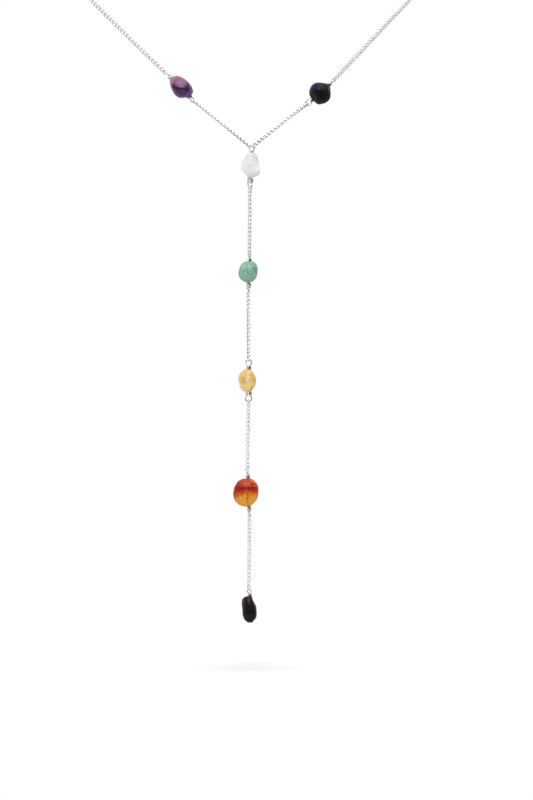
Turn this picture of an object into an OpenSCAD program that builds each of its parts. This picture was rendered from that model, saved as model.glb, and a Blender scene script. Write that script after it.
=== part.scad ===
// Y-shaped necklace in its worn form: a fine curb chain with seven tumbled
// stones. Each stone is drilled and sits on a wire that ends in eye loops, and
// the chain hangs in those loops. Lengths are in millimetres. The nape of the
// neck is the origin, +Z is up, the front of the necklace faces -Y and +X is
// on the viewer's right.

/* [Chain] */
// Thickness of a link's wire
link_wire = 0.32; // [0.3:0.01:0.33]
// Length of a link between its wire's centres
link_length = 1.78; // [1.76:0.01:1.8]
// Width of a link between its wire's centres
link_width = 0.98; // [0.96:0.01:1]
// Degrees by which each half of a link is twisted
link_twist = 60; // [56:1:62]
// Length of chain that one link adds
link_pitch = 1.15; // [1.13:0.01:1.17]
// Thickness of the plain tube round the neck
tube_d = 1.2; // [1:0.1:1.3]

/* [Eye loops] */
// Thickness of the wire through the stones
eye_wire = 0.4; // [0.36:0.02:0.42]
// Height that one turn of a coil adds
coil_pitch = 0.38; // [0.34:0.01:0.39]
// Gap between a stone and its wire, along the wire
seat_gap = 0.05; // [0.03:0.01:0.1]

/* [Stones] */
// Drill hole through a stone
bore_d = 0.7; // [0.6:0.05:0.8]
// Depth of the glued hole in the lowest stone
blind_depth = 4; // [3:0.5:5]

/* [Neck] */
// Height of the nape above the loop where the chains meet
front_drop = 119; // [117:0.5:121]
// Distance from the nape forward to the front chains
front_reach = 112; // [110:0.5:114]
// Millimetres that the front chains lean back for each one of height
front_lean = 0.27; // [0.2:0.01:0.3]

/* [Clasp] */
// Length of the clasp's barrel
clasp_length = 7; // [6:0.5:9]
// Diameter of the clasp's barrel
clasp_d = 2.6; // [2:0.1:3]

/* [Hidden] */
$fn = 48;

TOP = 1;
BOTTOM = -1;
FRONT = [0, -front_reach, -front_drop];

// Sections of the stones along their wire, from the lower end up: height,
// then the reach to the viewer's left and right, to the front and to the back
HEIGHT = 0;
LEFT = 1;
RIGHT = 2;
NEAR = 3;
FAR = 4;
AMETHYST_FORM = [
    [-3.75, 0.7, 0.95, 0.75, 0.7],
    [-3.45, 0.75, 1.8, 1.25, 1.15],
    [-3.05, 1.0, 2.0, 1.6, 1.5],
    [-2.5, 1.6, 2.35, 1.95, 1.85],
    [-1.8, 2.2, 2.6, 2.2, 2.1],
    [-1.0, 2.45, 2.75, 2.3, 2.2],
    [0.0, 2.5, 2.7, 2.3, 2.2],
    [1.0, 2.15, 2.6, 2.15, 2.05],
    [2.0, 1.75, 2.25, 1.8, 1.7],
    [3.0, 1.15, 1.65, 1.2, 1.2],
    [3.55, 0.65, 0.85, 0.65, 0.65]
];
SODALITE_FORM = [
    [-3.15, 0.9, 1.5, 0.9, 0.9],
    [-2.85, 1.6, 2.3, 1.5, 1.45],
    [-2.2, 2.25, 2.75, 2.15, 2.1],
    [-1.2, 2.9, 3.3, 2.7, 2.6],
    [-0.2, 3.05, 3.4, 2.9, 2.8],
    [0.8, 2.8, 3.1, 2.8, 2.6],
    [1.7, 2.0, 2.4, 2.3, 2.2],
    [2.4, 1.1, 1.7, 1.5, 1.5],
    [2.9, 0.7, 0.95, 0.7, 0.7]
];
QUARTZ_FORM = [
    [-3.4, 0.7, 0.75, 0.7, 0.7],
    [-3.0, 1.1, 1.65, 1.2, 1.2],
    [-2.5, 1.4, 2.4, 1.75, 1.65],
    [-1.9, 2.2, 2.55, 2.15, 2.05],
    [-1.2, 2.65, 2.6, 2.4, 2.2],
    [0.0, 2.75, 2.4, 2.3, 2.1],
    [1.3, 2.35, 2.1, 2.0, 1.8],
    [2.4, 1.75, 1.85, 1.6, 1.5],
    [3.1, 1.35, 1.6, 1.35, 1.25],
    [3.6, 0.95, 1.05, 0.9, 0.85]
];
AVENTURINE_FORM = [
    [-3.0, 0.8, 0.55, 0.65, 0.65],
    [-2.7, 1.65, 0.95, 1.25, 1.15],
    [-2.1, 2.55, 1.65, 1.95, 1.85],
    [-1.3, 2.9, 2.15, 2.3, 2.2],
    [-0.4, 3.05, 2.4, 2.5, 2.4],
    [0.5, 2.95, 2.5, 2.5, 2.4],
    [1.3, 2.75, 2.4, 2.3, 2.2],
    [2.0, 2.35, 2.1, 1.95, 1.9],
    [2.6, 1.75, 1.55, 1.45, 1.4],
    [2.95, 1.1, 0.95, 0.75, 0.75]
];
CITRINE_FORM = [
    [-3.0, 1.2, 0.75, 0.8, 0.8],
    [-2.7, 1.75, 1.05, 1.25, 1.25],
    [-2.3, 2.1, 1.35, 1.55, 1.5],
    [-1.5, 2.55, 1.8, 1.9, 1.8],
    [-0.5, 2.7, 2.1, 2.1, 2.0],
    [0.6, 2.85, 2.2, 2.2, 2.0],
    [1.5, 2.7, 1.95, 2.0, 1.9],
    [2.3, 2.35, 1.45, 1.6, 1.5],
    [3.0, 1.65, 0.85, 1.0, 1.0],
    [3.4, 1.1, 0.55, 0.6, 0.6]
];
CARNELIAN_FORM = [
    [-4.0, 0.95, 0.5, 0.65, 0.65],
    [-3.65, 2.35, 0.7, 1.5, 1.4],
    [-2.9, 3.4, 1.7, 2.25, 2.05],
    [-1.9, 4.05, 2.45, 2.7, 2.5],
    [-0.7, 4.3, 2.75, 2.9, 2.7],
    [0.6, 4.25, 2.85, 2.9, 2.7],
    [1.7, 4.0, 2.75, 2.7, 2.5],
    [2.7, 3.4, 2.2, 2.3, 2.1],
    [3.4, 2.8, 1.75, 1.75, 1.55],
    [3.95, 1.4, 0.65, 0.85, 0.85]
];
ONYX_FORM = [
    [-3.75, 0.9, 0.35, 0.5, 0.5],
    [-3.35, 1.5, 0.7, 1.0, 1.0],
    [-2.7, 2.0, 1.35, 1.4, 1.4],
    [-1.7, 2.25, 1.7, 1.7, 1.6],
    [-0.5, 2.35, 1.8, 1.8, 1.7],
    [0.8, 2.35, 1.65, 1.8, 1.7],
    [1.8, 2.35, 1.25, 1.6, 1.5],
    [2.6, 2.25, 0.9, 1.35, 1.35],
    [3.2, 2.05, 0.8, 1.05, 1.05],
    [3.7, 1.2, 0.65, 0.65, 0.65]
];

// Where each stone's middle is seen from the loop where the chains meet: to
// the right and up, then its wire's tilt to the right and its lean back
FORM = 0;
PLACE = 1;
TILT = 2;
LEAN = 3;
UPPER = 4;
LOWER = 5;
// Each end of a wire: its coil's diameter and turns, its eye loop's diameter
// between wire centres, and the turn of that loop out of the picture plane
COIL_D = 0;
TURNS = 1;
LOOP_D = 2;
LOOP_TURN = 3;
AMETHYST = [AMETHYST_FORM, [-20.45, 17.15], -45, 11, [1.5, 2, 1.5, 80], [1.3, 1, 1.5, 45]];
SODALITE = [SODALITE_FORM, [19.25, 15.95], 48.8, 9.5, [1.3, 1, 1.5, 80], [1.45, 1, 1.6, 0]];
QUARTZ = [QUARTZ_FORM, [-0.45, -4.9], 2.4, 0, [1.6, 1, 1.6, 0], [1.9, 3, 1.5, -45]];
AVENTURINE = [AVENTURINE_FORM, [-0.95, -34.85], 1.5, 0, [1.3, 1, 1.4, 75], [1.45, 3, 1.5, -80]];
CITRINE = [CITRINE_FORM, [-1.1, -65.7], 0.2, 0, [1.5, 2, 1.65, 0], [2.05, 2, 1.75, 0]];
CARNELIAN = [CARNELIAN_FORM, [-1.15, -97.2], -2.6, 0, [1.3, 2, 1.5, 80], [1.25, 3, 1.5, -80]];
ONYX = [ONYX_FORM, [-0.6, -130.3], -4.1, 0, [1.35, 1, 1.6, 50]];
STONE_SIDES = 14;
STONE_ROUNDNESS = 0.9;

// Middle of the barrel's eye loops, and their diameter between wire centres
CLASP_LOOP_D = 1.5;
CLASP_LOOP_X = clasp_length / 2 + CLASP_LOOP_D / 2 + eye_wire;

// Routes of the neck chains, chosen by hand from the front to the nape. The
// first two points of each lie on the straight stretch of the front
NECK_REST = [
    [56.5, -83, -62], [61, -66, -47], [62, -48, -31], [57.5, -31, -18],
    [46, -16, -8], [30.5, -6, -2.5], [15, -1.5, -0.5]
];
NECK_RIGHT = concat([[35, -102.5, -87], [46.6, -95.5, -74.6]], NECK_REST);
NECK_LEFT = concat([[-35.8, -102.5, -86.8], [-47.9, -95.5, -74.4]], mirrored(NECK_REST));
STRAIGHT_SPANS = 2;
STRAIGHT_STEPS = 2;
CURVED_STEPS = 4;
TUBE_SIDES = 8;
END_LINKS = 2;

// A link seated in an eye loop: from its centre to the loop's wire, and the
// roll at which its end stands square to that wire
SEAT_REACH = 0.32;
SEAT_ROLL = 33;
// Links over which a chain's roll eases from its seat to its middle value, and
// how the twist of a link is spread: 1 is even, less puts more near the centre
EASED_LINKS = 8;
TWIST_SPREAD = 0.7;
WIRE_SIDES = 5;
// Reach of a link's flat end past its centre, and the gap to what follows
LINK_END = link_length / 2 - link_width / 2 * (1 - cos(30)) + link_wire / 2;
LINK_GAP = 0.12;

// The straight stem of a wire is a little thicker than its loops, so that
// their skins cross, and a coil's turns are filled to this share of the wire
STEM_R = eye_wire / 2 + 0.015;
COIL_FILL = eye_wire * 2 / 3;
GLUE_GAP = 0.3;
// Length by which a drill runs out of a stone's ends
DRILL_RUNOUT = 1;
CONE_LENGTH = 1;

function unit(v) = v / norm(v);
function mirrored(points) = [for (p = points) [-p.x, p.y, p.z]];
function picture_right(v) = unit(cross([0, 1, 0], v));

// Axis of a stone's wire, pointing up along the necklace, and its middle
function wire_axis(s) = [
    cos(s[LEAN]) * sin(s[TILT]), sin(s[LEAN]), cos(s[LEAN]) * cos(s[TILT])
];
function middle(s) = let(p = s[PLACE])
    FRONT + [p.x, front_lean * max(p.y, 0), p.y];

// Data of one end of a wire: the eye loop's radius, and the distances from
// the stone's middle to the stone's end, to the coil and to the loop's centre
function end_data(s, end) = end == TOP ? s[UPPER] : s[LOWER];
function loop_radius(s, end) = end_data(s, end)[LOOP_D] / 2;
function stone_reach(s, end) =
    abs(s[FORM][end == TOP ? len(s[FORM]) - 1 : 0][HEIGHT]);
function coil_start(s, end) = stone_reach(s, end) + seat_gap;
function loop_reach(s, end) = coil_start(s, end) + seat_gap
    + end_data(s, end)[TURNS] * coil_pitch + eye_wire / 2 + loop_radius(s, end);
function loop_centre(s, end) = middle(s) + wire_axis(s) * end * loop_reach(s, end);

// Point of a loop's wire that lies farthest along a direction
function loop_normal(s, end) = let(
    x = picture_right(wire_axis(s)), y = cross(wire_axis(s), x),
    turn = end_data(s, end)[LOOP_TURN]
) y * cos(turn) - x * sin(turn);
function loop_point(s, end, along) = let(n = loop_normal(s, end))
    loop_centre(s, end) + loop_radius(s, end) * unit(along - n * (along * n));

// Roll of a link that starts or ends in a loop turned by so many degrees
function start_roll(turn) = half_turn(turn - 90 + SEAT_ROLL);
function end_roll(turn) = half_turn(turn - 90 - SEAT_ROLL);
function half_turn(a) = a - 180 * round(a / 180);
function eased(i, n) = max(0, 1 - i / min(EASED_LINKS, (n - 1) / 2));

// Corners of a link's centreline, in its flat form before the twist
function link_outline() = let(r = link_width / 2, s = link_length / 2 - r) [
    for (a = [0:60:180]) [s + r * sin(a), r * cos(a)],
    [0, -r],
    for (a = [180:60:360]) [-s + r * sin(a), r * cos(a)],
    [0, r]
];
function twist_at(x) = link_twist * sign(x) * pow(abs(x) / (link_length / 2), TWIST_SPREAD);

// A link's centreline in place: its centre, its direction and its roll
function link_line(centre, along, roll) = let(
    right = picture_right(along), back = cross(along, right)
) [
    for (p = link_outline()) let(a = roll + twist_at(p.x))
        centre + along * p.x + (right * cos(a) + back * sin(a)) * p.y
];

// Rings of a wire round a closed line of points, faced out from its centre
function closed_rings(line, centre, r, sides) = let(n = len(line)) [
    for (i = [0:n - 1]) let(
        t = unit(line[(i + 1) % n] - line[(i + n - 1) % n]),
        b = unit(cross(t, line[i] - centre)),
        out = cross(b, t)
    )
        for (j = [0:sides - 1]) let(a = 360 * j / sides)
            line[i] + r * (out * cos(a) + b * sin(a))
];
function ring_faces(first, rings, sides, closed) = [
    for (i = [0:closed ? rings - 1 : rings - 2]) let(k = (i + 1) % rings)
        for (j = [0:sides - 1]) let(
            m = (j + 1) % sides,
            a = first + i * sides + j, b = first + i * sides + m,
            c = first + k * sides + m, d = first + k * sides + j
        )
            each [[a, c, b], [a, d, c]]
];

// Rolls of a chain's links: eased from the first to the middle value, and
// from there to the last
function section_rolls(n, first, mid, last) = [
    for (i = [0:n - 1])
        mid + half_turn(first - mid) * eased(i, n)
            + half_turn(last - mid) * eased(n - 1 - i, n)
];

module links(places) {
    corners = len(link_outline());
    polyhedron(
        points = [
            for (p = places) each closed_rings(
                link_line(p[0], p[1], p[2]), p[0], link_wire / 2, WIRE_SIDES)
        ],
        faces = [
            for (i = [0:len(places) - 1])
                each ring_faces(i * corners * WIRE_SIDES, corners, WIRE_SIDES, true)
        ],
        convexity = 6
    );
}

// Chain from the upper loop of one stone to the lower loop of the next
module chain_between(lower, upper, mid_roll) {
    way = loop_centre(upper, BOTTOM) - loop_centre(lower, TOP);
    from = loop_point(lower, TOP, way);
    to = loop_point(upper, BOTTOM, -way);
    along = unit(to - from);
    first = from + along * SEAT_REACH;
    last = to - along * SEAT_REACH;
    n = round(norm(last - first) / link_pitch) + 1;
    rolls = section_rolls(
        n, start_roll(lower[UPPER][LOOP_TURN]), mid_roll,
        end_roll(upper[LOWER][LOOP_TURN])
    );
    links([for (i = [0:n - 1]) [first + (last - first) * i / (n - 1), along, rolls[i]]]);
}

// Tube along a route: points at equal steps of the smooth curve that passes
// through each of the route's points
function route_point(p, i, t) = let(
    a = p[max(i - 1, 0)], b = p[i], c = p[i + 1], d = p[min(i + 2, len(p) - 1)]
) ((2 * b) + (c - a) * t + (2 * a - 5 * b + 4 * c - d) * t * t
    + (3 * b - a - 3 * c + d) * t * t * t) / 2;
function route_line(p) = [
    for (i = [0:len(p) - 2]) let(steps = i < STRAIGHT_SPANS ? STRAIGHT_STEPS : CURVED_STEPS)
        for (k = [0:steps - 1]) route_point(p, i, k / steps),
    p[len(p) - 1]
];
function open_rings(line, r, sides) = let(n = len(line)) [
    for (i = [0:n - 1]) let(
        t = unit(line[min(i + 1, n - 1)] - line[max(i - 1, 0)]),
        right = picture_right(t), back = cross(t, right)
    )
        for (j = [0:sides - 1]) let(a = 180 * (2 * j + 1) / sides)
            line[i] + r * (right * cos(a) + back * sin(a))
];
module tube(line) {
    last = (len(line) - 1) * TUBE_SIDES;
    polyhedron(
        points = open_rings(line, tube_d / 2, TUBE_SIDES),
        faces = concat(
            ring_faces(0, len(line), TUBE_SIDES, false),
            [[for (j = [0:TUBE_SIDES - 1]) j],
             [for (j = [TUBE_SIDES - 1:-1:0]) last + j]]
        ),
        convexity = 6
    );
}

// Chain from a stone's upper loop round the neck to the clasp's loop on the
// same side: real links in both loops, and the tube between them. Each end is
// the point where it hangs on a loop's wire and its direction from there
function neck_ends(stone, route) = let(
    from = loop_point(stone, TOP, route[0] - loop_centre(stone, TOP)),
    to = [sign(route[0].x) * (CLASP_LOOP_X + CLASP_LOOP_D / 2), 0, 0]
) [
    [from, unit(route[0] - from), start_roll(stone[UPPER][LOOP_TURN])],
    [to, unit(route[len(route) - 1] - to), start_roll(0)]
];
module neck_links(stone, route) {
    links([
        for (e = neck_ends(stone, route)) for (i = [0:END_LINKS - 1])
            [e[0] + e[1] * (SEAT_REACH + i * link_pitch), e[1], e[2]]
    ]);
}
module neck_tube(stone, route) {
    reach = SEAT_REACH + (END_LINKS - 1) * link_pitch + LINK_END + LINK_GAP;
    tips = [for (e = neck_ends(stone, route)) e[0] + e[1] * reach];
    tube(route_line(concat([tips[0]], route, [tips[1]])));
}

module in_place(s) {
    translate(middle(s)) rotate([-s[LEAN], s[TILT], 0]) children();
}

// A stone's outer form: rings of points, one for each section of its table
function signed_power(v) = sign(v) * pow(abs(v), STONE_ROUNDNESS);
module stone_form(form) {
    rows = len(form);
    last = (rows - 1) * STONE_SIDES;
    polyhedron(
        points = [
            for (row = form) for (j = [0:STONE_SIDES - 1]) let(
                c = signed_power(cos(360 * j / STONE_SIDES)),
                s = signed_power(sin(360 * j / STONE_SIDES))
            ) [
                c * (c > 0 ? row[RIGHT] : row[LEFT]),
                s * (s > 0 ? row[FAR] : row[NEAR]),
                row[HEIGHT]
            ]
        ],
        faces = concat(
            ring_faces(0, rows, STONE_SIDES, false),
            [[for (j = [0:STONE_SIDES - 1]) j],
             [for (j = [STONE_SIDES - 1:-1:0]) last + j]]
        ),
        convexity = 3
    );
}
module drilled_stone(s) {
    in_place(s) difference() {
        stone_form(s[FORM]);
        translate([0, 0, -stone_reach(s, BOTTOM) - DRILL_RUNOUT])
            cylinder(
                d = bore_d,
                h = stone_reach(s, BOTTOM) + stone_reach(s, TOP) + 2 * DRILL_RUNOUT
            );
    }
}
module half_drilled_stone(s) {
    in_place(s) difference() {
        stone_form(s[FORM]);
        translate([0, 0, stone_reach(s, TOP) - blind_depth])
            cylinder(d = bore_d, h = blind_depth + DRILL_RUNOUT);
    }
}

module eye_loop(d) {
    rotate_extrude() translate([d / 2, 0]) circle(d = eye_wire);
}

// Half section of a coil whose foot is at height zero
module coil_section(end) {
    turns = end[TURNS];
    if (turns > 0) {
        ring_r = end[COIL_D] / 2 - eye_wire / 2;
        translate([0, (eye_wire - COIL_FILL) / 2])
            square([ring_r, (turns - 1) * coil_pitch + COIL_FILL]);
        for (i = [0:turns - 1])
            translate([ring_r, eye_wire / 2 + i * coil_pitch]) circle(d = eye_wire);
    }
}

// Wire of a stone: stem and coils in one turned form, with an eye loop at each
// end
module wire_end(s, end) {
    data = end_data(s, end);
    mirror([0, 0, end == TOP ? 0 : 1])
        translate([0, 0, loop_reach(s, end)])
            rotate([90, 0, data[LOOP_TURN]]) eye_loop(data[LOOP_D]);
}
module stem_section(s, low, ends) {
    high = loop_reach(s, TOP) - loop_radius(s, TOP);
    translate([0, low]) square([STEM_R, high - low]);
    for (end = ends)
        mirror([0, end == TOP ? 0 : 1])
            translate([0, coil_start(s, end)]) coil_section(end_data(s, end));
}
module wire(s) {
    in_place(s) {
        rotate_extrude()
            stem_section(s, loop_radius(s, BOTTOM) - loop_reach(s, BOTTOM), [TOP, BOTTOM]);
        wire_end(s, TOP);
        wire_end(s, BOTTOM);
    }
}
module glued_wire(s) {
    in_place(s) {
        rotate_extrude()
            stem_section(s, stone_reach(s, TOP) - blind_depth + GLUE_GAP, [TOP]);
        wire_end(s, TOP);
    }
}

module chain_neck_left() color("gainsboro") neck_tube(AMETHYST, NECK_LEFT);
module chain_neck_right() color("gainsboro") neck_tube(SODALITE, NECK_RIGHT);
module links_neck_left() color("gainsboro") neck_links(AMETHYST, NECK_LEFT);
module links_neck_right() color("gainsboro") neck_links(SODALITE, NECK_RIGHT);
module chain_v_left() color("gainsboro") chain_between(QUARTZ, AMETHYST, -84);
module chain_v_right() color("gainsboro") chain_between(QUARTZ, SODALITE, -90);
module chain_drop_1() color("gainsboro") chain_between(AVENTURINE, QUARTZ, 20);
module chain_drop_2() color("gainsboro") chain_between(CITRINE, AVENTURINE, 45);
module chain_drop_3() color("gainsboro") chain_between(CARNELIAN, CITRINE, 15);
module chain_drop_4() color("gainsboro") chain_between(ONYX, CARNELIAN, 30);

module stone_amethyst() color("#8a5a9c") drilled_stone(AMETHYST);
module stone_sodalite() color("#1f2038") drilled_stone(SODALITE);
module stone_quartz() color("#e6e2e8") drilled_stone(QUARTZ);
module stone_aventurine() color("#8ebda6") drilled_stone(AVENTURINE);
module stone_citrine() color("#e6c070") drilled_stone(CITRINE);
module stone_carnelian() color("#cf6a26") drilled_stone(CARNELIAN);
module stone_onyx() color("#1d1d1c") half_drilled_stone(ONYX);

module wire_amethyst() color("silver") wire(AMETHYST);
module wire_sodalite() color("silver") wire(SODALITE);
module wire_quartz() color("silver") wire(QUARTZ);
module wire_aventurine() color("silver") wire(AVENTURINE);
module wire_citrine() color("silver") wire(CITRINE);
module wire_carnelian() color("silver") wire(CARNELIAN);
module wire_onyx() color("silver") glued_wire(ONYX);

// Plain barrel with a cone at each end, each cone ending in an eye loop
module clasp() {
    barrel_l = clasp_length - 2 * CONE_LENGTH;
    color("silver") {
        rotate([0, 90, 0]) cylinder(d = clasp_d, h = barrel_l, center = true);
        for (side = [-1, 1]) {
            translate([side * barrel_l / 2, 0, 0]) rotate([0, side * 90, 0])
                cylinder(d1 = clasp_d, d2 = clasp_d / 2, h = CONE_LENGTH);
            translate([side * barrel_l / 2, 0, 0]) rotate([0, side * 90, 0])
                cylinder(r = STEM_R, h = CONE_LENGTH + eye_wire);
            translate([side * CLASP_LOOP_X, 0, 0]) rotate([90, 0, 0])
                eye_loop(CLASP_LOOP_D);
        }
    }
}

chain_neck_left();
chain_neck_right();
links_neck_left();
links_neck_right();
chain_v_left();
chain_v_right();
chain_drop_1();
chain_drop_2();
chain_drop_3();
chain_drop_4();
stone_amethyst();
stone_sodalite();
stone_quartz();
stone_aventurine();
stone_citrine();
stone_carnelian();
stone_onyx();
wire_amethyst();
wire_sodalite();
wire_quartz();
wire_aventurine();
wire_citrine();
wire_carnelian();
wire_onyx();
clasp();
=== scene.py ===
"""Looks of a Y-shaped necklace: fine curb chain and seven tumbled stones on
wrapped wire loops, in its worn form above a pale floor."""

import math
from math import radians

import bpy
import numpy as np
from mathutils import Matrix, Vector, noise


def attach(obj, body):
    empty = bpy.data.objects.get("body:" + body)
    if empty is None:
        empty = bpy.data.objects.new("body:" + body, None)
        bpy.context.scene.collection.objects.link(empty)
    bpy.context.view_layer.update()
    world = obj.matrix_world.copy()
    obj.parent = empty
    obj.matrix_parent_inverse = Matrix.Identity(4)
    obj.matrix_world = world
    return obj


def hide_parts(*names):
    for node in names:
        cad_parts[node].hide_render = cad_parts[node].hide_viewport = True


MM = 0.001
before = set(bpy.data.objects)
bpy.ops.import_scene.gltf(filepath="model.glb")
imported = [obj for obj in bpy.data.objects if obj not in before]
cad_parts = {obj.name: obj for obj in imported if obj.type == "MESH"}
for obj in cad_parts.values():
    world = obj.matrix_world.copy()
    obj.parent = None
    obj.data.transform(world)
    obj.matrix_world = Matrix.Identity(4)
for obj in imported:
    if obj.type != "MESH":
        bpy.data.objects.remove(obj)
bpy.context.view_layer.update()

# Sizes, in mm and degrees.
LINK_WIRE = 0.34
LINK_LENGTH = 1.78
LINK_WIDTH = 0.98
LINK_TWIST = 60
LINK_PITCH = 1.15
LINK_SIDES = 10
RECESS_SIDES = (3, 4, 5, 6)  # sides of the wire that look at the link's own middle
SEAT_REACH = 0.32            # from an eye loop's wire to the middle of its first link
SEAT_ROLL = 33
EASED_LINKS = 8              # links over which the roll eases from the loop to the middle
ROUTE_STEP = 0.05            # between points of the neck's route
ROUTE_SPAN = 8               # points on each side of a link that give its direction

EYE_WIRE = 0.4
COIL_PITCH = 0.38
SEAT_GAP = 0.05
BORE_R = 0.35
BLIND_DEPTH = 4.0                  # of the lowest stone's hole
GLUE_GAP = 0.3
WIRE_SIDES = 12
WIRE_STEP = 0.09
LOOP_ANGLES = range(-66, 256, 14)  # round the eye loop
LOOP_LEAVES = 180                  # where the wire starts to leave the loop's plane
LOOP_FRONT = 0.9                   # how far it leaves it, in radii of the coil
STEM_DEPTHS = (0.75, 0.3)          # below the loop
COIL_STEP = 18
COIL_OVER = 30                     # past the last whole turn
CUT_END = (0.42, 0.06)             # reach of the cut end, along the turn and outward
CUT_THIN = 0.7

ROUNDNESS = 0.9
STONE_SIDES = 112
STONE_STEPS = 9
LUMPS = ((0.42, 0.16), (1.25, 0.045))  # the noise's frequency and height
LUMP_PLACE = (7.3, 1.7, 3.1)
FLAT_EDGE = 0.02
MOUTH_SMOOTH, MOUTH_FADE = 0.55, 0.9   # lumps fade out towards the drill hole
RIM_R, RIM_RISE, RIM_ROUNDNESS = 0.45, 0.015, 0.95
MOUTH_ROWS = ((0.0, 0.46), (0.12, 0.37), (0.45, BORE_R))  # depth and radius
TIP_RISE, HOLE_TIP = 0.06, 0.1

FRONT = np.array([0.0, -112.0, -119.0])  # the loop where the chains meet
FRONT_LEAN = 0.27                        # backward for each mm up
CLASP_HALF = 3.5
CLASP_LOOP_R = 0.75
CLASP_LOOP_X = CLASP_HALF + CLASP_LOOP_R + EYE_WIRE
FLOOR_Z = -266.1
FLOOR_R = 140.0
FLOOR_SIDES = 96

# The neck chains' routes, from the side stones to the clasp.
NECK_REST = [
    (56.5, -83, -62), (61, -66, -47), (62, -48, -31), (57.5, -31, -18),
    (46, -16, -8), (30.5, -6, -2.5), (15, -1.5, -0.5),
]
NECK_RIGHT = [(35, -102.5, -87), (46.6, -95.5, -74.6)] + NECK_REST
NECK_LEFT = [(-35.8, -102.5, -86.8), (-47.9, -95.5, -74.4)] + [(-x, y, z) for x, y, z in NECK_REST]

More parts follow.
